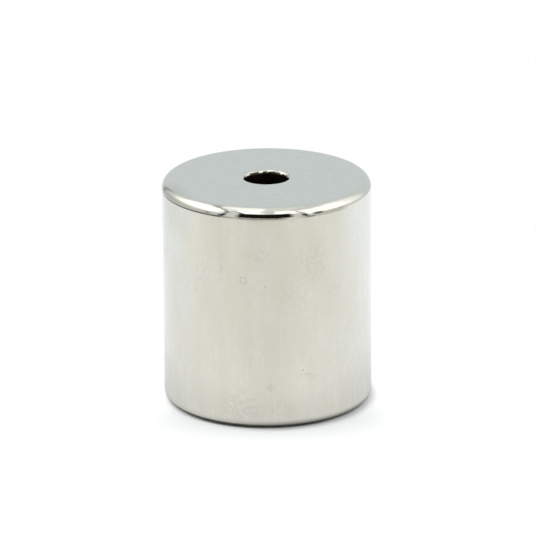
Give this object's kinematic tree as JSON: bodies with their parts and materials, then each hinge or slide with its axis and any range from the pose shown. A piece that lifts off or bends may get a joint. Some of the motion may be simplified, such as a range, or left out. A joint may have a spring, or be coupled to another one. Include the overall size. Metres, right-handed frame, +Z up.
{
  "type": "ring magnet",
  "caption": "Tall cylindrical ring magnet with a small through bore and rounded edges, bright nickel plated all over, standing on its flat base.",
  "frame": {"origin": "middle of the flat base, on the bore's axis", "axes": "+Z up along the bore axis from the base to the top face; the ring is round about it, so X and Y are free"},
  "size_m": [0.025, 0.025, 0.0275],
  "materials": {
    "nickel": "bright nickel plate, mirror-like, with a faint haze, fine vertical grinding lines and a few small pits"
  },
  "bodies": {
    "root": {"ring_magnet": "nickel"}
  },
  "joints": []
}
